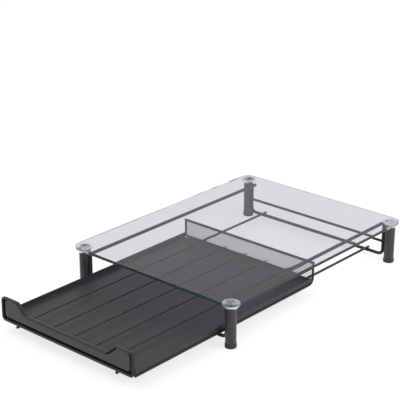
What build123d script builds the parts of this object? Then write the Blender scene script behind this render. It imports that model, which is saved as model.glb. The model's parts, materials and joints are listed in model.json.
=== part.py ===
from build123d import *
import os
from math import radians, sqrt, tan

# Coffee pod drawer: a glass topped stand on four legs, with a shallow wire and sheet drawer that
# slides under the glass. Millimetres, +Z up, -Y is the side where the drawer comes out. The drawer
# is drawn half out at rest, and the origin is on the floor under the middle of that pose.

# ---- stand ----
GLASS_X = 330.0
GLASS_Y = 432.0
GLASS_THICK = 5.0
GLASS_CORNER_R = 16.0
GLASS_ARRIS = 0.6
GLASS_TOP_Z = 73.7
LEG_X = 150.5
LEG_Y = 201.8
LEG_D = 16.6
LEG_WALL = 1.5
LEG_TOP_Z = 62.0
FOOT_D = 17.8
FOOT_HEIGHT = 6.5
FOOT_BASE = 2.5
FOOT_ROUND = 1.0
EDGE_BREAK = 0.5  # on turned and moulded edges
PAD_D = 25.5
PAD_EDGE = 2.0
STUD_D = 6.0
STUD_LENGTH = 10.0
INSERT_LENGTH = 12.0

FRAME_WIRE = 5.4
FRAME_X = 139.9
FRAME_Y = 199.0
FRAME_BOTTOM_Z = 10.7
FRAME_BEND_R = 9.0
STOP_WIRE = 4.4
STOP_Z = 34.0
RAIL_X = 134.6
RAIL_Z = 61.2
GUIDE_WIRE = 4.0
GUIDE_X = 110.0
GUIDE_OVERHANG = 0.8
WELD = 0.3  # how far welded round wires sink into each other
SEAM = 0.1  # the same, where a sheet or a long run is welded

# ---- drawer ----
DRAWER_OPEN = 179.0  # how far out the drawer stands at rest
DRAWER_LENGTH = 403.9
DRAWER_HALF_X = 135.0
DRAWER_BOTTOM_Z = 17.5
RIM_WIRE = 4.0
RIM_HIGH_Z = 57.0
RIM_LOW_Z = 40.7
DIP_HALF_X = 81.0
SHOULDER_X = 99.5
RIM_BOTTOM_R = 7.5
RIM_TOP_R = 8.0
RIM_SHOULDER_R = 6.0
RIM_DIP_R = 11.0
PLATE_THICK = 1.2
PLATE_INSET = 1.2  # the sheet's edge from the rim's outside
PLATE_RISE = 2.6
PLATE_MARGIN = 7.0  # the raised centre's foot from the outline, at the sides and the bottom
PLATE_TOP_MARGIN = 3.2
PLATE_SLOPE_MARGIN = 5.0
PLATE_DRAFT = 20.0
PLATE_BOTTOM_R = 6.0
PLATE_TOP_R = 6.5
PLATE_SHOULDER_R = 3.0
PLATE_DIP_R = 12.0
SIDE_WIRE = 3.6
SIDE_BEND_R = 10.0
SHEET = 1.2
FLANGE_SETBACK = 0.9
FLANGE_TOP_Z = 29.8
PAN_BEND_R = 2.2
FLANGE_CORNER_R = 8.0
BACK_RAIL_WIRE = 4.2
BACK_RAIL_Z = 51.8
SKID_WIRE = 4.0
SKID_X = 101.9
LANES = 6
LANE_PITCH = 42.7
DIVIDER_WIRE = 2.5
CARRIER_WIRE = 3.0
CARRIER_FRONT_GAP = 6.0
CARRIER_BACK_GAP = 5.0
DIVIDER_Z = 29.4

# ---- mesh of the back wall ----
MESH_THICK = 0.8
MESH_BORDER = 2.0
MESH_COLUMNS = 29
MESH_ROWS = 9
MESH_STRAND = 1.4

# ---- places worked out from the sizes above ----
DRAWER_FRONT = -(DRAWER_LENGTH + GLASS_Y / 2 - (FRAME_Y - STOP_WIRE / 2) + DRAWER_OPEN) / 2
STAND_Y = -DRAWER_FRONT - GLASS_Y / 2
DRAWER_BACK = DRAWER_FRONT + DRAWER_LENGTH
GLASS_UNDER_Z = GLASS_TOP_Z - GLASS_THICK
GUIDE_Z = FRAME_BOTTOM_Z + (FRAME_WIRE + GUIDE_WIRE) / 2 - WELD
SIDE_X = DRAWER_HALF_X - SIDE_WIRE / 2
SIDE_Z = DRAWER_BOTTOM_Z + SIDE_WIRE / 2
FLOOR_Z = DRAWER_BOTTOM_Z + SIDE_WIRE
FLANGE_X = DRAWER_HALF_X - FLANGE_SETBACK
POST_Y = DRAWER_BACK - SIDE_WIRE / 2
RIM_Y = DRAWER_FRONT + RIM_WIRE / 2
PLATE_Y = DRAWER_FRONT + RIM_WIRE - SEAM
PAN_FRONT_Y = PLATE_Y + PLATE_THICK
MESH_Y = POST_Y
PAN_BACK_Y = MESH_Y - MESH_THICK / 2

SIDES = {"left": -1, "right": 1}
ENDS = {"front": -1, "back": 1}

os.makedirs("parts", exist_ok=True)


def save(name, solid):
    """Write one sub-part and print what it is."""
    solid.label = name
    export_step(solid, f"parts/{name}.step")
    print(name, len(solid.solids()), "solid(s)", round(solid.volume), "mm3")


def straight_wire(start, end, diameter):
    """A round wire between two points."""
    run = Vector(*end) - Vector(*start)
    return extrude(Plane(origin=start, z_dir=run) * Circle(diameter / 2), run.length)


def bent_wire(points, radii, diameter):
    """A round wire bent along straight runs joined by arcs."""
    path = FilletPolyline(*points, radius=radii)
    section = Plane(origin=path @ 0, z_dir=path % 0) * Circle(diameter / 2)
    return sweep(section, path=path)


# ---- stand ----


def glass_top():
    sheet = extrude(RectangleRounded(GLASS_X, GLASS_Y, GLASS_CORNER_R), GLASS_THICK)
    for z in (0, GLASS_THICK):
        sheet = chamfer(sheet.edges().filter_by_position(Axis.Z, z, z), GLASS_ARRIS)
    return Pos(0, STAND_Y, GLASS_UNDER_Z) * sheet


def glass_pad(x, y):
    """Disc bonded under the glass, coned down to the leg, with the stud that screws into it."""
    rim, neck, stud = PAD_D / 2, LEG_D / 2, STUD_D / 2
    outline = Polyline(
        (0, GLASS_UNDER_Z),
        (rim - EDGE_BREAK, GLASS_UNDER_Z),
        (rim, GLASS_UNDER_Z - EDGE_BREAK),
        (rim, GLASS_UNDER_Z - PAD_EDGE),
        (neck, LEG_TOP_Z),
        (stud, LEG_TOP_Z),
        (stud, LEG_TOP_Z - STUD_LENGTH + EDGE_BREAK),
        (stud - EDGE_BREAK, LEG_TOP_Z - STUD_LENGTH),
        (0, LEG_TOP_Z - STUD_LENGTH),
        close=True,
    )
    return Pos(x, y, 0) * revolve(Plane.XZ * make_face(outline), Axis.Z)


def leg(x, y):
    tube = extrude(Circle(LEG_D / 2) - Circle(LEG_D / 2 - LEG_WALL), LEG_TOP_Z - FOOT_BASE)
    return Pos(x, y, FOOT_BASE) * tube


def leg_insert(x, y):
    """Plug pressed into the leg's top, tapped for the stud."""
    plug = extrude(Circle(LEG_D / 2 - LEG_WALL) - Circle(STUD_D / 2), INSERT_LENGTH)
    return Pos(x, y, LEG_TOP_Z - INSERT_LENGTH) * plug


def foot_cap(x, y):
    """Plastic cup round the leg's bottom, its tread drawn in by two cones."""
    rim, bore, drawn_in = FOOT_D / 2, LEG_D / 2, FOOT_ROUND * (1 - sqrt(0.5))
    outline = Polyline(
        (0, 0),
        (rim - FOOT_ROUND, 0),
        (rim - drawn_in, drawn_in),
        (rim, FOOT_ROUND),
        (rim, FOOT_HEIGHT - EDGE_BREAK),
        (rim - EDGE_BREAK, FOOT_HEIGHT),
        (bore, FOOT_HEIGHT),
        (bore, FOOT_BASE),
        (0, FOOT_BASE),
        close=True,
    )
    return Pos(x, y, 0) * revolve(Plane.XZ * make_face(outline), Axis.Z)


def end_frame(y):
    """U of round wire: one upright beside each leg, and a bottom run that carries the drawer."""
    corners = [
        (-FRAME_X, y, LEG_TOP_Z),
        (-FRAME_X, y, FRAME_BOTTOM_Z),
        (FRAME_X, y, FRAME_BOTTOM_Z),
        (FRAME_X, y, LEG_TOP_Z),
    ]
    return bent_wire(corners, FRAME_BEND_R, FRAME_WIRE)


def back_stop_wire():
    reach = FRAME_X - FRAME_WIRE / 2 + WELD
    y = STAND_Y + FRAME_Y
    return straight_wire((-reach, y, STOP_Z), (reach, y, STOP_Z), STOP_WIRE)


def side_rail(side):
    x, reach = side * RAIL_X, FRAME_Y + FRAME_WIRE / 2
    return straight_wire((x, STAND_Y - reach, RAIL_Z), (x, STAND_Y + reach, RAIL_Z), FRAME_WIRE)


def guide_wire(side):
    """Straight guide on both frames, a little past the back one."""
    x, reach = side * GUIDE_X, FRAME_Y + FRAME_WIRE / 2
    start, end = STAND_Y - reach, STAND_Y + reach + GUIDE_OVERHANG
    return straight_wire((x, start, GUIDE_Z), (x, end, GUIDE_Z), GUIDE_WIRE)


# ---- drawer front ----


def slope_x(z, inset):
    """How far out the slope beside the dip is at a height, moved inwards by inset."""
    run, rise = SHOULDER_X - DIP_HALF_X, RIM_HIGH_Z - RIM_LOW_Z
    return DIP_HALF_X + ((z - RIM_LOW_Z) * run + inset * sqrt(run**2 + rise**2)) / rise


def inset_corners(side, top, slope):
    """Corners of the front's outline from the bottom left round, its edges moved inwards."""
    low, high, middle = DRAWER_BOTTOM_Z + side, RIM_HIGH_Z - top, RIM_LOW_Z - top
    edge, shoulder, dip = DRAWER_HALF_X - side, slope_x(high, slope), slope_x(middle, slope)
    right = [(edge, low), (edge, high), (shoulder, high), (dip, middle)]
    return [(-edge, low), *right, (-dip, middle), (-shoulder, high), (-edge, high)]


def front_corners(inset):
    return inset_corners(inset, inset, inset)


def front_radii(inset):
    """Bend radii at those corners: outward corners tighten with the inset, the dip's open up."""
    bottom, top = RIM_BOTTOM_R - inset, RIM_TOP_R - inset
    shoulder, dip = max(RIM_SHOULDER_R - inset, 0.8), RIM_DIP_R + inset
    return [bottom, bottom, top, shoulder, dip, dip, shoulder, top]


def front_face(inset, y):
    outline = FilletPolyline(*front_corners(inset), radius=front_radii(inset), close=True)
    return Pos(0, y, 0) * (Plane.XZ * make_face(outline))


def front_rim():
    """Closed loop of round wire: the drawer front's edge."""
    inset = RIM_WIRE / 2
    corners = [(x, RIM_Y, z) for x, z in front_corners(inset)]
    bottom, dip = (0, RIM_Y, DRAWER_BOTTOM_Z + inset), (0, RIM_Y, RIM_LOW_Z - inset)
    bends = front_radii(inset)[1:5]
    right = bent_wire([bottom, *corners[1:5], dip], bends, RIM_WIRE)
    return right + mirror(right, about=Plane.YZ)


def raised_face(inset, y):
    """Outline of the pressed centre: a groove parts it from the rim, but it leans on the rim's top wire."""
    corners = inset_corners(PLATE_MARGIN + inset, PLATE_TOP_MARGIN + inset, PLATE_SLOPE_MARGIN + inset)
    right = [PLATE_BOTTOM_R, PLATE_TOP_R, PLATE_SHOULDER_R, PLATE_DIP_R]
    radii = [PLATE_BOTTOM_R, *right, PLATE_DIP_R, PLATE_SHOULDER_R, PLATE_TOP_R]
    outline = FilletPolyline(*corners, radius=radii, close=True)
    return Pos(0, y, 0) * (Plane.XZ * make_face(outline))


def front_plate():
    """Sheet welded behind the rim wire, its centre pressed forwards with slanted edges."""
    sheet = extrude(front_face(PLATE_INSET, PLATE_Y), PLATE_THICK, dir=(0, 1, 0))
    slant = PLATE_RISE * tan(radians(PLATE_DRAFT))
    raised = loft([raised_face(0, PLATE_Y), raised_face(slant, PLATE_Y - PLATE_RISE)])
    back, wall = PLATE_Y + PLATE_THICK, PLATE_THICK
    hollow = loft([raised_face(wall, back), raised_face(wall + slant, back - PLATE_RISE)])
    return sheet + raised - hollow


# ---- drawer body ----


def tray_pan():
    """Folded sheet: a flat floor and two side flanges whose back corners follow the wire's bend."""
    reach, bend = FLANGE_X, PAN_BEND_R
    length = PAN_BACK_Y - PAN_FRONT_Y
    inside, floor = reach - SHEET, FLOOR_Z + SHEET
    outer = FilletPolyline(
        (-reach, FLANGE_TOP_Z), (-reach, FLOOR_Z), (reach, FLOOR_Z), (reach, FLANGE_TOP_Z), radius=bend
    )
    inner = FilletPolyline(
        (inside, FLANGE_TOP_Z),
        (inside, floor),
        (-inside, floor),
        (-inside, FLANGE_TOP_Z),
        radius=bend - SHEET,
    )
    rims = [Line(outer @ 1, inner @ 0), Line(inner @ 1, outer @ 0)]
    profile = make_face([*outer.edges(), *inner.edges(), *rims])
    pan = extrude(Pos(0, PAN_FRONT_Y, 0) * (Plane.XZ * profile), length, dir=(0, 1, 0))
    # The back corners are cut away in a quarter round about the bend's centre, clear of the wire.
    bend_y, bend_z = POST_Y - SIDE_BEND_R, SIDE_Z + SIDE_BEND_R
    across, size = 8, 30  # of the cutter, well past the flange
    for side in SIDES.values():
        block = Box(across, size, size, align=(Align.CENTER, Align.MIN, Align.MAX))
        round_part = Rot(0, 90, 0) * Cylinder(FLANGE_CORNER_R, across)
        pan -= Pos(side * SIDE_X, bend_y, bend_z) * (block - round_part)
        upper = Pos(side * SIDE_X, bend_y + FLANGE_CORNER_R, bend_z)
        pan -= upper * Box(across, size, size, align=(Align.CENTER, Align.MIN, Align.MIN))
    return pan


def side_wire(side):
    """Wire under the flange, turned up at the back as the back wall's post."""
    x = side * SIDE_X
    route = [(x, PLATE_Y + PLATE_THICK, SIDE_Z), (x, POST_Y, SIDE_Z), (x, POST_Y, BACK_RAIL_Z)]
    return bent_wire(route, SIDE_BEND_R, SIDE_WIRE)


def back_top_rail():
    """Top wire of the back wall, its ends on the posts."""
    reach = DRAWER_HALF_X - WELD
    return straight_wire((-reach, POST_Y, BACK_RAIL_Z), (reach, POST_Y, BACK_RAIL_Z), BACK_RAIL_WIRE)


def back_mesh():
    """Expanded metal sheet of staggered diamond openings, in one piece."""
    low, high = FLOOR_Z, BACK_RAIL_Z - BACK_RAIL_WIRE / 2 + 2 * SEAM
    half = SIDE_X - SIDE_WIRE / 2 + 2 * SEAM
    pitch_x = 2 * (half - MESH_BORDER) / (MESH_COLUMNS + 0.5)
    pitch_z = 2 * (high - low - 2 * MESH_BORDER) / (MESH_ROWS + 1)
    wide, tall = pitch_x - MESH_STRAND, pitch_z * (1 - MESH_STRAND / pitch_x)
    holes = []
    for row in range(MESH_ROWS):
        z = low + MESH_BORDER + pitch_z * (row + 1) / 2
        for column in range(MESH_COLUMNS):
            x = -half + MESH_BORDER + pitch_x * (column + 0.5 + 0.5 * (row % 2))
            tips = [(x - wide / 2, z), (x, z - tall / 2), (x + wide / 2, z), (x, z + tall / 2)]
            holes.append(Wire.make_polygon([(u, MESH_Y, v) for u, v in tips]))
    corners = [(-half, low), (half, low), (half, high), (-half, high)]
    frame = Wire.make_polygon([(u, MESH_Y, v) for u, v in corners])
    return extrude(Face(frame, holes), MESH_THICK / 2, dir=(0, 1, 0), both=True)


def floor_bar(y):
    reach = SIDE_X - SIDE_WIRE / 2 + WELD
    return straight_wire((-reach, y, SIDE_Z), (reach, y, SIDE_Z), SIDE_WIRE)


def skid_wire(side):
    """Wire that slides beside the guide and carries the floor bars."""
    x, z = side * SKID_X, DRAWER_BOTTOM_Z - SKID_WIRE / 2 + SEAM
    return straight_wire((x, DRAWER_FRONT + 2 * SEAM, z), (x, POST_Y - SIDE_BEND_R, z), SKID_WIRE)


def lane_carrier(y):
    reach = FLANGE_X - SHEET
    z = DIVIDER_Z - (DIVIDER_WIRE + CARRIER_WIRE) / 2 + WELD
    return straight_wire((-reach, y, z), (reach, y, z), CARRIER_WIRE)


def lane_divider(number):
    x = LANE_PITCH * (number - LANES / 2)
    return straight_wire((x, PAN_FRONT_Y, DIVIDER_Z), (x, PAN_BACK_Y, DIVIDER_Z), DIVIDER_WIRE)


save("glass_top", glass_top())
for end, y_sign in ENDS.items():
    leg_y = STAND_Y + y_sign * LEG_Y
    for side, x_sign in SIDES.items():
        leg_x = x_sign * LEG_X
        save(f"{end}_{side}_glass_pad", glass_pad(leg_x, leg_y))
        save(f"{end}_{side}_leg", leg(leg_x, leg_y))
        save(f"{end}_{side}_leg_insert", leg_insert(leg_x, leg_y))
        save(f"{end}_{side}_foot_cap", foot_cap(leg_x, leg_y))
    save(f"{end}_frame", end_frame(STAND_Y + y_sign * FRAME_Y))
save("back_stop_wire", back_stop_wire())
for side, x_sign in SIDES.items():
    save(f"{side}_side_rail", side_rail(x_sign))
    save(f"{side}_guide_wire", guide_wire(x_sign))

save("front_plate", front_plate())
save("front_rim", front_rim())
save("tray_pan", tray_pan())
for side, x_sign in SIDES.items():
    save(f"{side}_side_wire", side_wire(x_sign))
    save(f"{side}_skid_wire", skid_wire(x_sign))
save("back_top_rail", back_top_rail())
save("back_mesh", back_mesh())
floor_span = POST_Y - SIDE_BEND_R - DRAWER_FRONT
for number in (1, 2, 3):
    save(f"floor_bar_{number}", floor_bar(DRAWER_FRONT + floor_span * number / 3 - SIDE_WIRE / 2))
save("lane_carrier_front", lane_carrier(PAN_FRONT_Y + CARRIER_FRONT_GAP))
save("lane_carrier_back", lane_carrier(PAN_BACK_Y - CARRIER_BACK_GAP))
for number in range(1, LANES):
    save(f"lane_divider_{number}", lane_divider(number))
print("stand centre y", round(STAND_Y, 3))
print("drawer from y", round(DRAWER_FRONT, 3), "to", round(DRAWER_BACK, 3))
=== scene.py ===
import json
from math import atan2, pi, radians, sqrt, tan

import bmesh
import bpy
from mathutils import Matrix, Vector

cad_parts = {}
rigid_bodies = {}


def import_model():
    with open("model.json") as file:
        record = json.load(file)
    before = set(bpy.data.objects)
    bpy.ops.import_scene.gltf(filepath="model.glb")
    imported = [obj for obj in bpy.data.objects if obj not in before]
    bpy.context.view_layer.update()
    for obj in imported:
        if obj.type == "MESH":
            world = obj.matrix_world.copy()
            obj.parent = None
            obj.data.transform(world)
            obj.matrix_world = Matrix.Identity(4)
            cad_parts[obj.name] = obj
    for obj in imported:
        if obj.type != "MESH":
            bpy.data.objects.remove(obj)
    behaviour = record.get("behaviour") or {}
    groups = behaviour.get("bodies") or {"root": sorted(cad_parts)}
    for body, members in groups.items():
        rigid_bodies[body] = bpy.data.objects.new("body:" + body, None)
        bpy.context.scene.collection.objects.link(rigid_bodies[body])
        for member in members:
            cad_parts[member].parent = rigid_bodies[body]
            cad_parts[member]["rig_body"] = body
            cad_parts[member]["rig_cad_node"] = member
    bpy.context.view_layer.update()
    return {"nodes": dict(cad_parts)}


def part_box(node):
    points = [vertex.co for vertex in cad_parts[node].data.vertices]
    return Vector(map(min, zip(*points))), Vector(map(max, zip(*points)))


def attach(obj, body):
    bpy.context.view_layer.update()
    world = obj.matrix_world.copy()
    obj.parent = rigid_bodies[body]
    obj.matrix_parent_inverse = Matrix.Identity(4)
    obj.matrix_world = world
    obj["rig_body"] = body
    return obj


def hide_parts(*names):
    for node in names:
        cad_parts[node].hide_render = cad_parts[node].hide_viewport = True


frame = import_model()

# The looks of a drawer for coffee pods that slides under a glass topped stand. Metres, +Z up, and -Y
# is the side where the drawer comes out.

NODES = frame["nodes"]
MM = 0.001

# ---- sizes that the nodes' boxes don't give ----

# Wires: diameters, and the bends' radii on the wire's centre line.
FRAME_WIRE = 5.4 * MM
FRAME_BEND = 9.0 * MM
STOP_WIRE = 4.4 * MM
GUIDE_WIRE = 4.0 * MM
RIM_WIRE = 4.0 * MM
SIDE_WIRE = 3.6 * MM
SIDE_BEND = 10.0 * MM
BACK_RAIL_WIRE = 4.2 * MM
SKID_WIRE = 4.0 * MM
CARRIER_WIRE = 3.0 * MM
DIVIDER_WIRE = 2.5 * MM
WIRE_END_ROUND = 0.3 * MM

# Glass, pads, legs and feet.
GLASS_CORNER = 16.0 * MM
GLASS_ARRIS = 0.6 * MM
PAD_EDGE = 2.0 * MM
PAD_TOP_ROUND = 0.7 * MM
PAD_UNDER_ROUND = 0.3 * MM
STUD_LENGTH = 10.0 * MM
STUD_D = 6.0 * MM
STUD_END_ROUND = 0.6 * MM
LEG_D = 16.6 * MM
LEG_WALL = 1.5 * MM
LEG_END_ROUND = 0.3 * MM
TREAD_WIDTH = 4.5 * MM
TREAD_DIMPLE = 0.6 * MM
TREAD_ROUND = 1.0 * MM
CUP_LIP_ROUND = 0.4 * MM
# The bond takes the pads' faces this far into the sheet, so that no air shows between them.
BOND = 0.05 * MM

# Drawer front: its dip for the hand, its sheet, and the margins from the outline to the pressed panel.
DIP_Z = 40.7 * MM
DIP_X = 81.0 * MM
SHOULDER_X = 99.5 * MM
PLATE_THICK = 1.2 * MM
PLATE_EDGE = 1.2 * MM
PLATE_MARGIN = 7.0 * MM
PLATE_TOP_MARGIN = 3.2 * MM
PLATE_SLOPE_MARGIN = 5.0 * MM
PLATE_DRAFT = radians(20)
PRESS_ROUND = 0.5 * MM

# Radii at the front's bottom corner, top corner, shoulder and dip.
RIM_BENDS = [5.5 * MM, 6.0 * MM, 4.0 * MM, 13.0 * MM]
SHEET_BENDS = [6.3 * MM, 6.8 * MM, 4.8 * MM, 12.2 * MM]
PRESS_FOOT_BENDS = [6.0 * MM, 6.5 * MM, 3.0 * MM, 12.0 * MM]
PRESS_HEAD_BENDS = [5.4 * MM, 5.9 * MM, 2.7 * MM, 12.3 * MM]

# Back wall. The real openings are under 4 mm wide, too fine to show, so these are coarser.
MESH_THICK = 0.35 * MM
MESH_STRAND = 0.7 * MM
DIAMOND_X = 5.4 * MM
DIAMOND_Z = 4.2 * MM

# Floor: it lies just under the feet, so that no two faces share a plane.
FLOOR_WIDTH = 30.0
FLOOR_DROP = 0.1 * MM

# ---- how finely round shapes are divided ----
WIRE_SIDES = 20
BEND_STEPS = 8  # in a quarter turn
TURNED_SIDES = 64
PAD_RINGS = 4
GLASS_CORNER_STEPS = 14
OUTLINE_CORNER_STEPS = 6

# ---- what counts as the same place, as facing one way, and as sharp ----
SLACK = 0.05 * MM
WIDE_SLACK = 0.1 * MM
DOUBLES = 0.005 * MM
MESH_DOUBLES = 0.02 * MM
FACING = 0.9
LEVEL = 0.99
SQUARE_EDGE = 80
PRESS_FOLD = 50


# ---- shader nodes ----


def linear(hex_colour):
    """An sRGB hex colour as the linear RGBA that shader sockets take."""
    parts = [int(hex_colour[i : i + 2], 16) / 255 for i in (1, 3, 5)]
    return (*[c / 12.92 if c <= 0.04045 else ((c + 0.055) / 1.055) ** 2.4 for c in parts], 1.0)


def add_node(tree, kind, inputs=None, **settings):
    """Adds a shader node. An input, by its name or place, is linked if it is a socket, or else set."""
    node = tree.nodes.new("ShaderNode" + kind)
    for name, value in settings.items():
        setattr(node, name, value)
    for place, value in (inputs or {}).items():
        if isinstance(value, bpy.types.NodeSocket):
            tree.links.new(value, node.inputs[place])
        else:
            node.inputs[place].default_value = value
    return node


def new_finish(name):
    """An empty material, its node tree, and the place on the object that its patterns read."""
    material = bpy.data.materials.new(name)
    material.use_nodes = True
    tree = material.node_tree
    tree.nodes.clear()
    return material, tree, add_node(tree, "TexCoord").outputs["Object"]


# Places of the colour sockets on a Mix node.
FIRST, SECOND, MIXED = 6, 7, 2


# ---- finishes ----

# Sizes of their patterns.
COAT_DRIFT = 35 * MM
ROLLER_WAVE = 60 * MM
EDGE_STREAK = 25 * MM
# Patches of painted reflection on the pads, which also vary their gloss.
GLOSS_AND_REFLECTION_PATCH = 9 * MM
ZINC_MOTTLE = 1.5 * MM
MOULD_SHADE = 6 * MM
# A spark eroded grain is about 0.2 mm. This one is coarser, so that it shows.
MOULD_GRAIN = 0.5 * MM
# A real tool leaves rings about 0.2 mm apart. These are 0.7 mm apart, so that they show. The pads' own
# map is in millimetres, and so are its three sizes.
RING_GAP = 0.7
# Radii at which the painted highlight on the pads' rim starts and is full.
RIM_HIGHLIGHT_START = 8.6
RIM_HIGHLIGHT_FULL = 9.8

# How far a coat's roughness drifts to each side.
GLOSS_DRIFT = 0.06
# Float glass has an IOR of 1.5. The sheet's is lowered until it mirrors as weakly as the real one.
FLOAT_GLASS_IOR = 1.5
SHEET_IOR = 1.18


def powder_coat(name, colours, roughness, shine, peel, peel_height):
    """Polyester powder baked on steel: satin, with a fine orange peel.

    Its tone and gloss drift with its thickness.
    """
    material, tree, place = new_finish(name)
    drift = add_node(tree, "TexNoise", {"Vector": place, "Scale": 1 / COAT_DRIFT, "Detail": 3.0})
    thickness = drift.outputs["Fac"]
    tone = add_node(
        tree,
        "Mix",
        {"Factor": thickness, FIRST: linear(colours[0]), SECOND: linear(colours[1])},
        data_type="RGBA",
    )
    gloss = add_node(
        tree,
        "MapRange",
        {"Value": thickness, "To Min": roughness - GLOSS_DRIFT, "To Max": roughness + GLOSS_DRIFT},
    )
    grain = add_node(tree, "TexNoise", {"Vector": place, "Scale": 1 / peel, "Detail": 2.0})
    bump = add_node(
        tree, "Bump", {"Height": grain.outputs["Fac"], "Strength": 0.4, "Distance": peel_height}
    )
    coat = add_node(
        tree,
        "BsdfPrincipled",
        {
            "Base Color": tone.outputs[MIXED],
            "Roughness": gloss.outputs["Result"],
            "Normal": bump.outputs["Normal"],
            "Specular IOR Level": shine,
        },
    )
    add_node(tree, "OutputMaterial", {"Surface": coat.outputs["BSDF"]})
    return material


def tempered_glass():
    """Clear float glass, tempered: nearly colourless through its 5 mm, and a mirror at a low angle."""
    material, tree, place = new_finish("tempered_float_glass")
    roll = add_node(tree, "TexNoise", {"Vector": place, "Scale": 1 / ROLLER_WAVE, "Detail": 1.0})
    bump = add_node(tree, "Bump", {"Height": roll.outputs["Fac"], "Strength": 0.1, "Distance": 0.02 * MM})
    glass = add_node(
        tree,
        "BsdfPrincipled",
        {
            "Base Color": linear("#d5d3d9"),
            "Roughness": 0.0,
            "IOR": SHEET_IOR,
            "Transmission Weight": 1.0,
            "Normal": bump.outputs["Normal"],
        },
    )
    # Lamps reach what is under the sheet, as they do under real glass.
    clear = add_node(tree, "BsdfTransparent", {"Color": linear("#f0eff2")})
    shadow = add_node(tree, "LightPath").outputs["Is Shadow Ray"]
    mix = add_node(tree, "MixShader", {0: shadow, 1: glass.outputs["BSDF"], 2: clear.outputs["BSDF"]})
    add_node(tree, "OutputMaterial", {"Surface": mix.outputs["Shader"]})
    return material


def glass_edge():
    """Ground and polished edge of float glass: deep green, since one looks along the sheet.

    From inside the sheet, and at a low angle, it only mirrors and shows no green.
    """
    material, tree, place = new_finish("polished_glass_edge")
    streak = add_node(tree, "TexNoise", {"Vector": place, "Scale": 1 / EDGE_STREAK, "Detail": 2.0})
    tone = add_node(
        tree,
        "Mix",
        {"Factor": streak.outputs["Fac"], FIRST: linear("#7cb0a1"), SECOND: linear("#a0c8bc")},
        data_type="RGBA",
    )
    edge = add_node(
        tree,
        "BsdfPrincipled",
        {
            "Base Color": tone.outputs[MIXED],
            "Roughness": 0.08,
            "IOR": SHEET_IOR,
            "Transmission Weight": 0.85,
        },
    )
    clear = add_node(
        tree,
        "BsdfPrincipled",
        {
            "Base Color": linear("#c9cdce"),
            "Roughness": 0.02,
            "IOR": SHEET_IOR,
            "Transmission Weight": 1.0,
        },
    )
    mirror = add_node(tree, "Fresnel", {"IOR": FLOAT_GLASS_IOR}).outputs["Fac"]
    mix = add_node(tree, "MixShader", {0: mirror, 1: edge.outputs["BSDF"], 2: clear.outputs["BSDF"]})
    add_node(tree, "OutputMaterial", {"Surface": mix.outputs["Shader"]})
    return material


def turned_aluminium():
    """Turned aluminium: rings round the axis, a painted highlight on the rim, and patches of painted
    reflection whose gloss varies too.
    """
    material, tree, place = new_finish("turned_aluminium")
    face = add_node(tree, "UVMap", uv_map="turned").outputs["UV"]
    radius = add_node(tree, "VectorMath", {0: face}, operation="LENGTH").outputs["Value"]
    turns = add_node(tree, "Math", {0: radius, 1: 2 * pi / RING_GAP}, operation="MULTIPLY")
    rings = add_node(tree, "Math", {0: turns.outputs["Value"]}, operation="SINE").outputs["Value"]
    bump = add_node(tree, "Bump", {"Height": rings, "Strength": 0.1, "Distance": 0.02 * MM})
    patch_noise = add_node(tree, "TexNoise", {"Vector": place, "Scale": 1 / GLOSS_AND_REFLECTION_PATCH, "Detail": 2.0})
    gloss_and_reflection_patches = patch_noise.outputs["Fac"]
    gloss = add_node(tree, "MapRange", {"Value": gloss_and_reflection_patches, "To Min": 0.3, "To Max": 0.42})
    # Painted highlight on the face's outer ring, and painted reflection in patches, mixed from the grey
    # metal up to near white.
    rim = add_node(tree, "MapRange", {"Value": radius, "From Min": RIM_HIGHLIGHT_START, "From Max": RIM_HIGHLIGHT_FULL})
    painted_reflection = add_node(tree, "MapRange", {"Value": gloss_and_reflection_patches, "From Min": 0.36, "From Max": 0.66})
    painted_highlight = add_node(
        tree, "Math", {0: rim.outputs["Result"], 1: painted_reflection.outputs["Result"]}, operation="MAXIMUM"
    )
    tone = add_node(
        tree,
        "Mix",
        {"Factor": painted_highlight.outputs["Value"], FIRST: linear("#6f7375"), SECOND: linear("#eeeff0")},
        data_type="RGBA",
    )
    metal = add_node(
        tree,
        "BsdfPrincipled",
        {
            "Base Color": tone.outputs[MIXED],
            "Metallic": 1.0,
            "Roughness": gloss.outputs["Result"],
            "Anisotropic": 0.7,
            "Normal": bump.outputs["Normal"],
        },
    )
    add_node(tree, "OutputMaterial", {"Surface": metal.outputs["BSDF"]})
    return material


def zinc_plate():
    """Zinc plated steel: cool grey, faintly mottled by the plating bath."""
    material, tree, place = new_finish("zinc_plated_steel")
    mottle = add_node(tree, "TexNoise", {"Vector": place, "Scale": 1 / ZINC_MOTTLE, "Detail": 4.0})
    gloss = add_node(tree, "MapRange", {"Value": mottle.outputs["Fac"], "To Min": 0.3, "To Max": 0.5})
    metal = add_node(
        tree,
        "BsdfPrincipled",
        {"Base Color": linear("#b4b6b8"), "Metallic": 1.0, "Roughness": gloss.outputs["Result"]},
    )
    add_node(tree, "OutputMaterial", {"Surface": metal.outputs["BSDF"]})
    return material


def moulded_polyethylene():
    """Moulded polyethylene: soft black, with the fine grain of a spark eroded mould."""
    material, tree, place = new_finish("moulded_polyethylene")
    shade = add_node(tree, "TexNoise", {"Vector": place, "Scale": 1 / MOULD_SHADE, "Detail": 2.0})
    tone = add_node(
        tree,
        "Mix",
        {"Factor": shade.outputs["Fac"], FIRST: linear("#343236"), SECOND: linear("#3d3b3f")},
        data_type="RGBA",
    )
    grain = add_node(tree, "TexNoise", {"Vector": place, "Scale": 1 / MOULD_GRAIN, "Detail": 2.0})
    bump = add_node(tree, "Bump", {"Height": grain.outputs["Fac"], "Strength": 0.4, "Distance": 0.05 * MM})
    foot = add_node(
        tree,
        "BsdfPrincipled",
        {
            "Base Color": tone.outputs[MIXED],
            "Roughness": 0.6,
            "IOR": 1.51,
            "Specular IOR Level": 0.3,
            "Normal": bump.outputs["Normal"],
        },
    )
    add_node(tree, "OutputMaterial", {"Surface": foot.outputs["BSDF"]})
    return material


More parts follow.
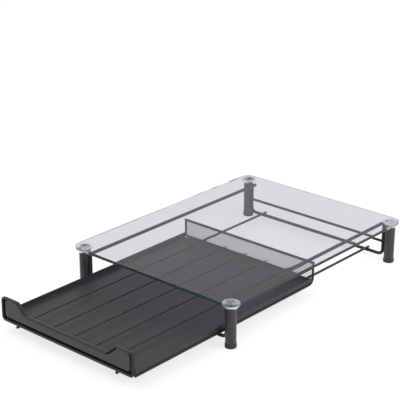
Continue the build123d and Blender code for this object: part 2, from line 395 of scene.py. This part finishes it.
CHARCOAL = powder_coat(
    "charcoal_powder_coat",
    ("#312f34", "#3b393e"),
    roughness=0.36,
    shine=0.4,
    peel=1.2 * MM,
    peel_height=0.03 * MM,
)
BLACK_WIRE = powder_coat(
    "black_wire_powder_coat",
    ("#201e21", "#282629"),
    roughness=0.42,
    shine=0.3,
    peel=1.0 * MM,
    peel_height=0.05 * MM,
)
BLACK_SHEET = powder_coat(
    "black_sheet_powder_coat",
    ("#302e32", "#38363a"),
    roughness=0.52,
    shine=0.3,
    peel=1.2 * MM,
    peel_height=0.025 * MM,
)
# Painted shade: a near black coat for the bottom of the groove round the front's pressed panel, standing
# for the shade that falls there.
GROOVE_PAINTED_SHADE = powder_coat(
    "groove_painted_shade",
    ("#0f0e10", "#161517"),
    roughness=0.6,
    shine=0.15,
    peel=1.2 * MM,
    peel_height=0.05 * MM,
)
GLASS = tempered_glass()
GLASS_EDGE = glass_edge()
ALUMINIUM = turned_aluminium()
ZINC = zinc_plate()
POLYETHYLENE = moulded_polyethylene()


# ---- modelling tools ----


def open_primitive(kind, name, scale=(1, 1, 1), **where):
    """Adds a primitive at its size and place and opens it for editing, with nothing selected."""
    bpy.ops.object.select_all(action="DESELECT")
    getattr(bpy.ops.mesh, f"primitive_{kind}_add")(**where)
    piece = bpy.context.active_object
    piece.name = piece.data.name = name
    piece.scale = scale
    bpy.ops.object.transform_apply(location=True, rotation=True, scale=True)
    bpy.ops.object.mode_set(mode="EDIT")
    bpy.ops.mesh.select_all(action="DESELECT")
    return piece


def pick(kind, test):
    """Selects the vertices, edges or faces of the open piece that pass the test."""
    bpy.ops.mesh.select_mode(type=kind)
    bpy.ops.mesh.select_all(action="DESELECT")
    shape = bmesh.from_edit_mesh(bpy.context.edit_object.data)
    for part in {"VERT": shape.verts, "EDGE": shape.edges, "FACE": shape.faces}[kind]:
        if test(part):
            part.select_set(True)
    shape.select_flush_mode()
    bmesh.update_edit_mesh(bpy.context.edit_object.data)


def pick_all(kind):
    """Selects all of the open piece, as vertices, edges or faces."""
    bpy.ops.mesh.select_mode(type=kind)
    bpy.ops.mesh.select_all(action="SELECT")


def near(a, b):
    return abs(a - b) < SLACK


def level(part, z):
    """True if all of an edge or a face is at height z."""
    return all(near(v.co.z, z) for v in part.verts)


def upright(edge):
    """True for an edge that runs straight up."""
    return (edge.verts[0].co - edge.verts[1].co).xy.length < SLACK


def on_circle(edge, x, y, radius):
    """True if an edge lies on an upright cylinder of this axis and radius."""
    return all(abs((v.co.xy - Vector((x, y))).length - radius) < WIDE_SLACK for v in edge.verts)


def sharper(edge, degrees):
    """True for an edge whose two faces turn by more than this angle."""
    return edge.calc_face_angle(0) > radians(degrees)


def extrude_by(x=0.0, y=0.0, z=0.0):
    bpy.ops.mesh.extrude_region_move(TRANSFORM_OT_translate={"value": (x, y, z)})


def close_piece(piece, crease=40):
    """Merges doubles, turns the faces outwards, leaves edit mode and smooths all but sharp edges."""
    pick_all("VERT")
    bpy.ops.mesh.remove_doubles(threshold=DOUBLES)
    bpy.ops.mesh.normals_make_consistent(inside=False)
    bpy.ops.object.mode_set(mode="OBJECT")
    bpy.ops.object.shade_smooth_by_angle(angle=radians(crease))
    return piece


def apply_modifier(piece, kind, **settings):
    modifier = piece.modifiers.new(kind.lower(), kind)
    for name, value in settings.items():
        setattr(modifier, name, value)
    bpy.ops.object.select_all(action="DESELECT")
    piece.select_set(True)
    bpy.context.view_layer.objects.active = piece
    bpy.ops.object.modifier_apply(modifier=modifier.name)


def level_faces(piece):
    """Keeps the shading of broad flat faces flat beside their rounded edges."""
    apply_modifier(piece, "WEIGHTED_NORMAL", keep_sharp=True)


def open_piece(*pieces):
    """Opens a piece for editing. Several are joined into the first."""
    bpy.ops.object.select_all(action="DESELECT")
    for piece in pieces:
        piece.select_set(True)
    bpy.context.view_layer.objects.active = pieces[0]
    if len(pieces) > 1:
        bpy.ops.object.join()
    bpy.ops.object.mode_set(mode="EDIT")
    return pieces[0]


def copy_piece(piece, name, x=0.0, y=0.0, z=0.0):
    """A copy with its own mesh, moved within the mesh."""
    twin = piece.copy()
    twin.data = piece.data.copy()
    twin.name = twin.data.name = name
    bpy.context.scene.collection.objects.link(twin)
    twin.data.transform(Matrix.Translation((x, y, z)))
    return twin


def hand_over(piece, body, node, slot, *finishes):
    """Gives the piece its finishes and its body, and hides the node that it stands for."""
    piece.data.materials.clear()
    for finish in finishes:
        piece.data.materials.append(finish)
    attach(piece, body)
    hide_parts(node)


def bend_wire(name, route, bends, diameter, closed=False):
    """A round wire, drawn along its straight runs and bent round its corners as on a wire bender."""
    route = [Vector(point) for point in route]
    along = (route[1] - route[0]).normalized()
    piece = open_primitive(
        "circle",
        name,
        vertices=WIRE_SIDES,
        radius=diameter / 2,
        location=route[0],
        rotation=along.to_track_quat("Z", "Y").to_euler(),
    )
    pick_all("EDGE")
    reached = route[0]
    for corner, beyond, bend in zip(route[1:-1], route[2:], bends):
        onward = (beyond - corner).normalized()
        turn = along.angle(onward)
        stop = corner - along * bend * tan(turn / 2)
        axis = along.cross(onward).normalized()
        extrude_by(*(stop - reached))
        steps = max(2, round(BEND_STEPS * turn / (pi / 2)))
        bpy.ops.mesh.spin(steps=steps, angle=-turn, center=stop + axis.cross(along) * bend, axis=axis)
        reached = corner + onward * bend * tan(turn / 2)
        along = onward
    extrude_by(*(route[-1] - reached))
    if not closed:
        pick("EDGE", lambda e: e.is_boundary)
        bpy.ops.mesh.fill_holes(sides=0)
        pick("EDGE", lambda e: any(len(f.verts) == WIRE_SIDES for f in e.link_faces))
        bpy.ops.mesh.bevel(offset=WIRE_END_ROUND, segments=2)
    return close_piece(piece)


def wire_piece(name, node, body, route, bends, diameter, closed=False):
    piece = bend_wire(name, route, bends, diameter, closed)
    hand_over(piece, body, node, "black_wire_coat", BLACK_WIRE)


def straight_piece(node, body, diameter):
    """A straight wire along its node's box."""
    low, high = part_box(node)
    start, end = (low + high) / 2, (low + high) / 2
    longest = max(range(3), key=lambda i: high[i] - low[i])
    start[longest], end[longest] = low[longest], high[longest]
    wire_piece(f"{node}_drawn", node, body, [start, end], [], diameter)


# ---- stand ----


def glass_top():
    """Sheet with round corners and polished arrises."""
    low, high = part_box("glass_top")
    piece = open_primitive("cube", "glass_sheet", size=1.0, location=(low + high) / 2, scale=high - low)
    pick("EDGE", upright)
    bpy.ops.mesh.bevel(offset=GLASS_CORNER, segments=GLASS_CORNER_STEPS)
    pick("EDGE", lambda e: sharper(e, SQUARE_EDGE))
    bpy.ops.mesh.bevel(offset=GLASS_ARRIS, segments=3)
    close_piece(piece)
    level_faces(piece)
    hand_over(piece, "stand", "glass_top", "tempered_glass", GLASS, GLASS_EDGE)
    for face in piece.data.polygons:
        if abs(face.normal.z) < LEVEL:
            face.material_index = 1


def turned_pad():
    """Disc that is bonded to the glass, coned down to the leg, with its stud, turned in one."""
    low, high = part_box("front_left_glass_pad")
    high.z += BOND
    x, y, rim = (low.x + high.x) / 2, (low.y + high.y) / 2, (high.x - low.x) / 2
    under, neck = high.z - PAD_EDGE, LEG_D / 2 / rim
    piece = open_primitive(
        "cylinder",
        "pad",
        vertices=TURNED_SIDES,
        radius=rim,
        depth=PAD_EDGE,
        location=(x, y, high.z - PAD_EDGE / 2),
    )
    pick("FACE", lambda f: f.normal.z < -FACING)
    extrude_by(z=low.z + STUD_LENGTH - under)
    bpy.ops.transform.resize(value=(neck, neck, 1), center_override=(x, y, 0))
    bpy.ops.mesh.inset(thickness=(LEG_D - STUD_D) / 2)
    extrude_by(z=-STUD_LENGTH)
    pick("FACE", lambda f: f.normal.z > FACING)
    for _ in range(PAD_RINGS):
        bpy.ops.mesh.inset(thickness=rim / (PAD_RINGS + 1))
    pick("EDGE", lambda e: level(e, high.z) and on_circle(e, x, y, rim))
    bpy.ops.mesh.bevel(offset=PAD_TOP_ROUND, segments=4)
    pick("EDGE", lambda e: level(e, under) and on_circle(e, x, y, rim))
    bpy.ops.mesh.bevel(offset=PAD_UNDER_ROUND, segments=2)
    pick("EDGE", lambda e: level(e, low.z))
    bpy.ops.mesh.bevel(offset=STUD_END_ROUND, segments=2)
    close_piece(piece, crease=35)
    level_faces(piece)
    turned_map = piece.data.uv_layers.new(name="turned")
    for loop in piece.data.loops:
        point = piece.data.vertices[loop.vertex_index].co
        turned_map.data[loop.index].uv = ((point.x - x) / MM, (point.y - y) / MM)
    return piece


def leg_tube():
    """Steel tube with its cut ends rounded by the coat."""
    low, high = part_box("front_left_leg")
    piece = open_primitive(
        "cylinder",
        "tube",
        vertices=TURNED_SIDES,
        radius=LEG_D / 2,
        depth=high.z - low.z,
        location=(low + high) / 2,
    )
    pick("FACE", lambda f: abs(f.normal.z) > FACING)
    bpy.ops.mesh.inset(thickness=LEG_WALL)
    bpy.ops.mesh.bridge_edge_loops()
    pick("EDGE", lambda e: sharper(e, SQUARE_EDGE))
    bpy.ops.mesh.bevel(offset=LEG_END_ROUND, segments=2)
    return close_piece(piece)


def foot_cup():
    """Moulded cup pressed over the leg's end, with a rounded tread and a dimple below."""
    low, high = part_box("front_left_foot_cap")
    x, y, rim = (low.x + high.x) / 2, (low.y + high.y) / 2, (high.x - low.x) / 2
    leg_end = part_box("front_left_leg")[0].z
    piece = open_primitive(
        "cylinder",
        "cup",
        vertices=TURNED_SIDES,
        radius=rim,
        depth=high.z - low.z,
        location=(low + high) / 2,
    )
    pick("FACE", lambda f: f.normal.z > FACING)
    bpy.ops.mesh.inset(thickness=rim - LEG_D / 2)
    extrude_by(z=leg_end - high.z)
    pick("FACE", lambda f: f.normal.z < -FACING)
    bpy.ops.mesh.inset(thickness=TREAD_WIDTH)
    extrude_by(z=TREAD_DIMPLE)
    pick("EDGE", lambda e: level(e, low.z) and on_circle(e, x, y, rim))
    bpy.ops.mesh.bevel(offset=TREAD_ROUND, segments=4)
    pick("EDGE", lambda e: level(e, high.z) and on_circle(e, x, y, rim))
    bpy.ops.mesh.bevel(offset=CUP_LIP_ROUND, segments=3)
    return close_piece(piece)


def stand_corners():
    """The legs with their pads and feet: each kind is modelled at the front left and copied."""
    kinds = {
        "glass_pad": (turned_pad(), "pad_metal", ALUMINIUM),
        "leg": (leg_tube(), "charcoal_powder_coat", CHARCOAL),
        "foot_cap": (foot_cup(), "foot_plastic", POLYETHYLENE),
    }
    for kind, (model, slot, finish) in kinds.items():
        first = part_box(f"front_left_{kind}")[0]
        kind_name = model.name
        for corner in ("front_right", "back_left", "back_right"):
            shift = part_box(f"{corner}_{kind}")[0] - first
            twin = copy_piece(model, f"{corner}_{kind_name}", shift.x, shift.y)
            hand_over(twin, "stand", f"{corner}_{kind}", slot, finish)
        model.name = model.data.name = f"front_left_{kind_name}"
        hand_over(model, "stand", f"front_left_{kind}", slot, finish)
    for name, node in NODES.items():
        if name.endswith("leg_insert"):
            node.data.materials.clear()
            node.data.materials.append(ZINC)


def stand_wires():
    """The two bent frames under the glass, and the straight wires welded to them."""
    for end in ("front", "back"):
        low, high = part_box(f"{end}_frame")
        y, r = (low.y + high.y) / 2, FRAME_WIRE / 2
        left, right, bottom = low.x + r, high.x - r, low.z + r
        route = [(left, y, high.z), (left, y, bottom), (right, y, bottom), (right, y, high.z)]
        wire_piece(f"{end}_frame_bent", f"{end}_frame", "stand", route, [FRAME_BEND] * 2, FRAME_WIRE)
    straight_piece("back_stop_wire", "stand", STOP_WIRE)
    for side in ("left", "right"):
        straight_piece(f"{side}_side_rail", "stand", FRAME_WIRE)
        straight_piece(f"{side}_guide_wire", "stand", GUIDE_WIRE)


# ---- drawer front ----


def front_corners(side, top, slope):
    """Right half of the front's outline, its edges moved inwards."""
    low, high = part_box("front_rim")
    run, rise = SHOULDER_X - DIP_X, high.z - DIP_Z
    edge, bottom, shoulder_z, dip_z = high.x - side, low.z + side, high.z - top, DIP_Z - top
    shoulder, dip = [
        DIP_X + ((z - DIP_Z) * run + slope * sqrt(run**2 + rise**2)) / rise for z in (shoulder_z, dip_z)
    ]
    return [(edge, bottom), (edge, shoulder_z), (shoulder, shoulder_z), (dip, dip_z)]


def front_rim():
    """Closed loop of round wire bent to the front's outline."""
    low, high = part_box("front_rim")
    y = (low.y + high.y) / 2
    right = [(x, y, z) for x, z in front_corners(*[RIM_WIRE / 2] * 3)]
    left = [(-x, y, z) for x, y, z in reversed(right)]
    seam = (0, y, right[0][2])
    route = [seam, *right, *left, seam]
    bends = RIM_BENDS + RIM_BENDS[::-1]
    wire_piece("front_rim_bent", "front_rim", "drawer", route, bends, RIM_WIRE, closed=True)


def front_outline(name, half, radii, y):
    """Edges in the front's outline: a plane whose middle is pushed down and whose corners are rounded."""
    (edge, bottom), (_, top), (shoulder, _), (dip, dipped) = half
    piece = open_primitive(
        "plane",
        name,
        size=1.0,
        location=(0, y, (bottom + top) / 2),
        rotation=(pi / 2, 0, 0),
        scale=(2 * edge, top - bottom, 1),
    )
    for x in (-shoulder, -dip, dip, shoulder):
        bpy.ops.mesh.select_all(action="SELECT")
        bpy.ops.mesh.bisect(plane_co=(x, y, 0), plane_no=(1, 0, 0))
    pick("VERT", lambda v: near(v.co.z, top) and abs(v.co.x) < dip + WIDE_SLACK)
    bpy.ops.transform.translate(value=(0, 0, dipped - top))
    pick("VERT", lambda v: near(v.co.z, bottom) and abs(v.co.x) < edge - WIDE_SLACK)
    bpy.ops.mesh.dissolve_verts()
    pick_all("FACE")
    bpy.ops.mesh.dissolve_faces()
    slope = atan2(top - dipped, shoulder - dip)
    for (x, z), radius, turn in zip(half, radii, (pi / 2, pi / 2, slope, slope)):
        pick("VERT", lambda v: near(abs(v.co.x), x) and near(v.co.z, z))
        setback = radius * tan(turn / 2)
        bpy.ops.mesh.bevel(offset=setback, segments=OUTLINE_CORNER_STEPS, affect="VERTICES")
    pick_all("FACE")
    bpy.ops.mesh.delete(type="ONLY_FACE")
    bpy.ops.object.mode_set(mode="OBJECT")
    return piece


def front_plate():
    """Sheet behind the rim wire, its centre pressed forwards: three outlines, bridged and filled."""
    low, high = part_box("front_plate")
    sheet_y = high.y - PLATE_THICK
    slant = (sheet_y - low.y) * tan(PLATE_DRAFT)
    margins = (PLATE_MARGIN, PLATE_TOP_MARGIN, PLATE_SLOPE_MARGIN)
    foot = front_outline("front_plate_pressed", front_corners(*margins), PRESS_FOOT_BENDS, sheet_y)
    head_corners = front_corners(*[margin + slant for margin in margins])
    head = front_outline("press_head", head_corners, PRESS_HEAD_BENDS, low.y)
    around = front_outline("sheet_edge", front_corners(*[PLATE_EDGE] * 3), SHEET_BENDS, sheet_y)
    piece = open_piece(foot, head)
    pick_all("EDGE")
    bpy.ops.mesh.bridge_edge_loops()
    pick("EDGE", lambda e: all(near(v.co.y, low.y) for v in e.verts))
    bpy.ops.mesh.edge_face_add()
    bpy.ops.object.mode_set(mode="OBJECT")
    piece = open_piece(piece, around)
    pick("EDGE", lambda e: e.is_boundary or e.is_wire)
    bpy.ops.mesh.bridge_edge_loops()
    pick("EDGE", lambda e: sharper(e, PRESS_FOLD))
    bpy.ops.mesh.bevel(offset=PRESS_ROUND, segments=4)
    close_piece(piece, crease=PRESS_FOLD)
    apply_modifier(piece, "SOLIDIFY", thickness=PLATE_THICK, offset=-1.0, use_even_offset=True)
    level_faces(piece)
    hand_over(piece, "drawer", "front_plate", "charcoal_powder_coat", CHARCOAL, GROOVE_PAINTED_SHADE)
    # The front of the flat sheet round the pressed panel gets the painted groove shade.
    for face in piece.data.polygons:
        if face.normal.y < -FACING and near(face.center.y, sheet_y):
            face.material_index = 1


# ---- drawer body ----


def tray_pan():
    """Folded pan: the node's own shape with its loose triangles merged and its folds smoothed."""
    piece = copy_piece(NODES["tray_pan"], "tray_pan_folded")
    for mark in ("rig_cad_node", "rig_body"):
        if mark in piece:
            del piece[mark]
    open_piece(piece)
    close_piece(piece, crease=30)
    level_faces(piece)
    hand_over(piece, "drawer", "tray_pan", "black_sheet_coat", BLACK_SHEET)


def drawer_wires():
    """The wires that the pan hangs in and slides on, and those between the lanes."""
    for side in ("left", "right"):
        low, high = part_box(f"{side}_side_wire")
        x, r = (low.x + high.x) / 2, SIDE_WIRE / 2
        route = [(x, low.y, low.z + r), (x, high.y - r, low.z + r), (x, high.y - r, high.z)]
        wire_piece(f"{side}_side_bent", f"{side}_side_wire", "drawer", route, [SIDE_BEND], SIDE_WIRE)
        straight_piece(f"{side}_skid_wire", "drawer", SKID_WIRE)
    straight_piece("back_top_rail", "drawer", BACK_RAIL_WIRE)
    kinds = {"floor_bar": SIDE_WIRE, "lane_carrier": CARRIER_WIRE, "lane_divider": DIVIDER_WIRE}
    for name in sorted(NODES):
        for kind, diameter in kinds.items():
            if name.startswith(kind):
                straight_piece(name, "drawer", diameter)


def back_mesh():
    """Expanded metal: one diamond ring, arrayed in two staggered sets and trimmed to the sheet."""
    low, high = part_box("back_mesh")
    y = (low.y + high.y) / 2
    across = round((high.x - low.x) / DIAMOND_X) + 1
    up = round((high.z - low.z) / DIAMOND_Z) + 1
    piece = open_primitive(
        "circle",
        "back_mesh_expanded",
        vertices=4,
        radius=0.5,
        fill_type="NGON",
        location=(low.x, y, low.z),
        rotation=(pi / 2, 0, 0),
        scale=(DIAMOND_X, DIAMOND_Z, 1),
    )
    bpy.ops.mesh.select_all(action="SELECT")
    bpy.ops.mesh.inset(thickness=MESH_STRAND / 2)
    bpy.ops.mesh.delete(type="FACE")
    bpy.ops.object.mode_set(mode="OBJECT")
    evenly = {"use_relative_offset": False, "use_constant_offset": True}
    apply_modifier(piece, "ARRAY", count=across, constant_offset_displace=(DIAMOND_X, 0, 0), **evenly)
    apply_modifier(piece, "ARRAY", count=up, constant_offset_displace=(0, 0, DIAMOND_Z), **evenly)
    between = copy_piece(piece, "staggered", DIAMOND_X / 2, 0, DIAMOND_Z / 2)
    open_piece(piece, between)
    bpy.ops.mesh.select_all(action="SELECT")
    bpy.ops.mesh.remove_doubles(threshold=MESH_DOUBLES)
    for corner, outwards in ((low, -1), (high, 1)):
        for normal in ((outwards, 0, 0), (0, 0, outwards)):
            bpy.ops.mesh.select_all(action="SELECT")
            bpy.ops.mesh.bisect(plane_co=corner, plane_no=normal, clear_outer=True)
    close_piece(piece)
    apply_modifier(piece, "SOLIDIFY", thickness=MESH_THICK, offset=0.0)
    hand_over(piece, "drawer", "back_mesh", "black_sheet_coat", BLACK_SHEET)


glass_top()
stand_corners()
stand_wires()
front_rim()
front_plate()
tray_pan()
drawer_wires()
back_mesh()


# ---- camera, floor and light ----


def shown_rays(tree):
    """1 for the rays that the camera, a mirror or glass sends, and 0 for the light that lands on things."""
    path = add_node(tree, "LightPath").outputs
    mirror = add_node(
        tree, "Math", {0: path["Is Camera Ray"], 1: path["Is Glossy Ray"]}, operation="MAXIMUM"
    )
    either = add_node(
        tree, "Math", {0: mirror.outputs["Value"], 1: path["Is Transmission Ray"]}, operation="MAXIMUM"
    )
    return either.outputs["Value"]


def floor():
    """Plain white floor that keeps the shadows.

    Light bounces off white paint. The camera sees darker paint under a glow, which keeps the shadows
    faint, and the glow is stronger far from the lamps, so that the floor stays white there.
    """
    bpy.ops.object.select_all(action="DESELECT")
    bpy.ops.mesh.primitive_plane_add(size=FLOOR_WIDTH, location=(0, 0, -FLOOR_DROP))
    ground = bpy.context.active_object
    ground.name = "floor"
    material, tree, place = new_finish("white_floor")
    shown = shown_rays(tree)
    tone = add_node(tree, "MapRange", {"Value": shown, "To Min": 0.8, "To Max": 0.34})
    paint = add_node(tree, "BsdfDiffuse", {"Color": tone.outputs["Result"]})
    away = add_node(tree, "VectorMath", {0: place}, operation="LENGTH").outputs["Value"]
    fade = add_node(
        tree, "MapRange", {"Value": away, "From Min": 0.8, "From Max": 3.0, "To Min": 0.75, "To Max": 0.86}
    )
    lift = add_node(tree, "Math", {0: shown, 1: fade.outputs["Result"]}, operation="MULTIPLY")
    glow = add_node(tree, "Emission", {"Strength": lift.outputs["Value"]})
    both = add_node(tree, "AddShader", {0: paint.outputs["BSDF"], 1: glow.outputs["Emission"]})
    add_node(tree, "OutputMaterial", {"Surface": both.outputs["Shader"]})
    ground.data.materials.append(material)


def world():
    """Soft light from all round, shown as white."""
    sky = bpy.data.worlds.new("studio")
    bpy.context.scene.world = sky
    sky.use_nodes = True
    tree = sky.node_tree
    tree.nodes.clear()
    strength = add_node(tree, "MapRange", {"Value": shown_rays(tree), "To Min": 0.44, "To Max": 1.0})
    back = add_node(
        tree, "Background", {"Color": linear("#ffffff"), "Strength": strength.outputs["Result"]}
    )
    add_node(tree, "OutputWorld", {"Surface": back.outputs["Background"]})


def lamp(name, place, size, watts):
    """A square soft lamp, aimed at the floor under the object's middle."""
    light = bpy.data.lights.new(name, "AREA")
    light.shape = "SQUARE"
    light.size = size
    light.energy = watts
    piece = bpy.data.objects.new(name, light)
    bpy.context.scene.collection.objects.link(piece)
    piece.location = place
    piece.rotation_euler = (-Vector(place)).to_track_quat("-Z", "Y").to_euler()


def camera():
    """The photograph's angle, found from the glass edges, the legs and the drawer."""
    eye = bpy.data.objects.new("camera", bpy.data.cameras.new("camera"))
    bpy.context.scene.collection.objects.link(eye)
    eye.location = (1.22582, -1.39645, 0.88048)
    eye.rotation_euler = (radians(68.64), 0, radians(41.556))
    eye.data.lens = 117.25
    eye.data.sensor_width = 36.0
    bpy.context.scene.camera = eye


camera()
floor()
world()
lamp("key", place=(-0.9, -0.9, 1.7), size=2.4, watts=22)
lamp("fill", place=(1.7, 0.3, 0.9), size=2.0, watts=22)
bpy.context.scene.view_settings.view_transform = "Standard"
